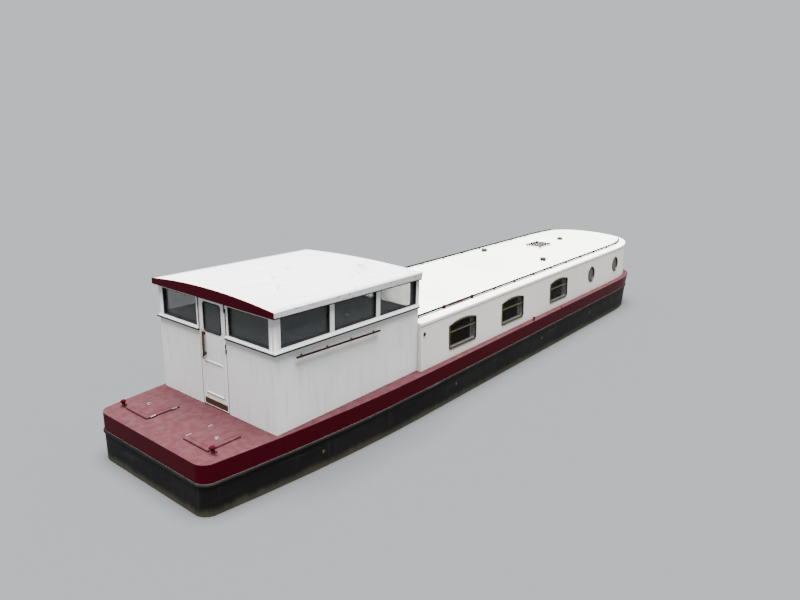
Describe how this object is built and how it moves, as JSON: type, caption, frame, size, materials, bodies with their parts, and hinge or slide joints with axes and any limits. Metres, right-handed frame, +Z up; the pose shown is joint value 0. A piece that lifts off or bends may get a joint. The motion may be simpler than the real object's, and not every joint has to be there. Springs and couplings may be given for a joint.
{
  "type": "steel widebeam canal boat with stern wheelhouse",
  "caption": "Cream and maroon steel widebeam canal boat of the narrowboat kind, black hull, long cabin with arched windows and portholes, glazed stern wheelhouse.",
  "frame": {"origin": "Underside of the baseplate, halfway between the bow's tip and the rubbing strake round the transom, on the centreline", "axes": "+X to the bow, +Y to port, +Z up; the waterline is at Z = 0.6 m"},
  "size_m": [14.639, 3.138, 3.186],
  "materials": {
    "black_hull": "weathered satin blacking",
    "maroon_paint": "gloss paint",
    "cream_paint": "satin paint",
    "roof_paint": "matt paint with fine grit",
    "roof_gelcoat": "weathered gelcoat with hairline crazing",
    "white_paint": "satin paint",
    "glass": "clear",
    "window_frame": "dark anodised with a gold line",
    "porthole_bezel": "tarnished",
    "lining_paint": "pale grey green satin",
    "floor_boards": "oiled boards",
    "rail_black": "gloss paint on round bar",
    "vent_metal": "dull, dark with age",
    "steel_gear": "rusty",
    "bronze": "worn",
    "engine_paint": "engine enamel",
    "varnished_wood": "varnished",
    "blue_cloth": "woven cotton",
    "curtain_cloth": "pale grey cotton, gathered"
  },
  "bodies": {
    "hull": {"baseplate": "black_hull", "hull_side_port": "black_hull", "hull_side_starboard": "black_hull", "bow_plating": "black_hull", "transom": "black_hull", "swim_port": "black_hull", "swim_starboard": "black_hull", "counter_plate": "black_hull", "skeg": "black_hull", "stern_deck": "maroon_paint", "gunwale_port": "maroon_paint", "gunwale_starboard": "maroon_paint", "gunwale_bow": "maroon_paint", "wheelhouse_fascia": "maroon_paint", "cabin_side_port": "cream_paint", "cabin_side_starboard": "cream_paint", "cabin_front": "cream_paint", "cabin_roof": "roof_paint", "wheelhouse_roof": "roof_gelcoat", "wheelhouse_side_port": "white_paint", "wheelhouse_side_starboard": "white_paint", "wheelhouse_aft_port": "white_paint", "wheelhouse_aft_starboard": "white_paint", "wheelhouse_front": "white_paint", "wheelhouse_glass_port": "glass", "wheelhouse_glass_starboard": "glass", "wheelhouse_glass_aft_port": "glass", "wheelhouse_glass_aft_starboard": "glass", "wheelhouse_glass_front": "glass", "window_port_1": "window_frame", "window_port_2": "window_frame", "window_port_3": "window_frame", "porthole_port_1": "porthole_bezel", "porthole_port_2": "porthole_bezel", "window_starboard_1": "window_frame", "window_starboard_2": "window_frame", "window_starboard_3": "window_frame", "porthole_starboard_1": "porthole_bezel", "porthole_starboard_2": "porthole_bezel", "bulkhead_port": "lining_paint", "bulkhead_starboard": "lining_paint", "locker_seat": "lining_paint", "wheelhouse_floor": "floor_boards", "cabin_floor": "floor_boards", "handrail_port": "rail_black", "handrail_starboard": "rail_black", "roof_rack": "rail_black", "roof_vent_1": "vent_metal", "roof_vent_2": "vent_metal", "roof_vent_3": "vent_metal", "engine": "engine_paint", "helm_console": "varnished_wood", "seat_cushion": "blue_cloth"},
    "rudder_body": {"rudder": "steel_gear"},
    "propeller_body": {"propeller": "bronze"},
    "steering_wheel_body": {"steering_wheel": "varnished_wood"},
    "stern_door_body": {"stern_door": "white_paint", "stern_door_glass": "glass"}
  },
  "joints": [
    {"name": "rudder_turn", "type": "hinge", "parent": "hull", "child": "rudder_body", "pos_m": [-6.9755, 0, 0.3], "axis": [0, 0, 1], "range_deg": [-35, 35]},
    {"name": "propeller_spin", "type": "hinge", "parent": "hull", "child": "propeller_body", "pos_m": [-6.5605, 0, 0.295], "axis": [1, 0, 0], "continuous": true},
    {"name": "steering_wheel_turn", "type": "hinge", "parent": "hull", "child": "steering_wheel_body", "pos_m": [-3.5005, -0.76, 2.05], "axis": [1, 0, 0], "range_deg": [-350, 350]},
    {"name": "stern_door_swing", "type": "hinge", "parent": "hull", "child": "stern_door_body", "pos_m": [-6.1635, -0.3, 2.2], "axis": [0, 0, 1], "range_deg": [0, 100]}
  ],
  "couplings": [
    {"joint": "steering_wheel_turn", "follows": "rudder_turn", "ratio": 10}
  ]
}
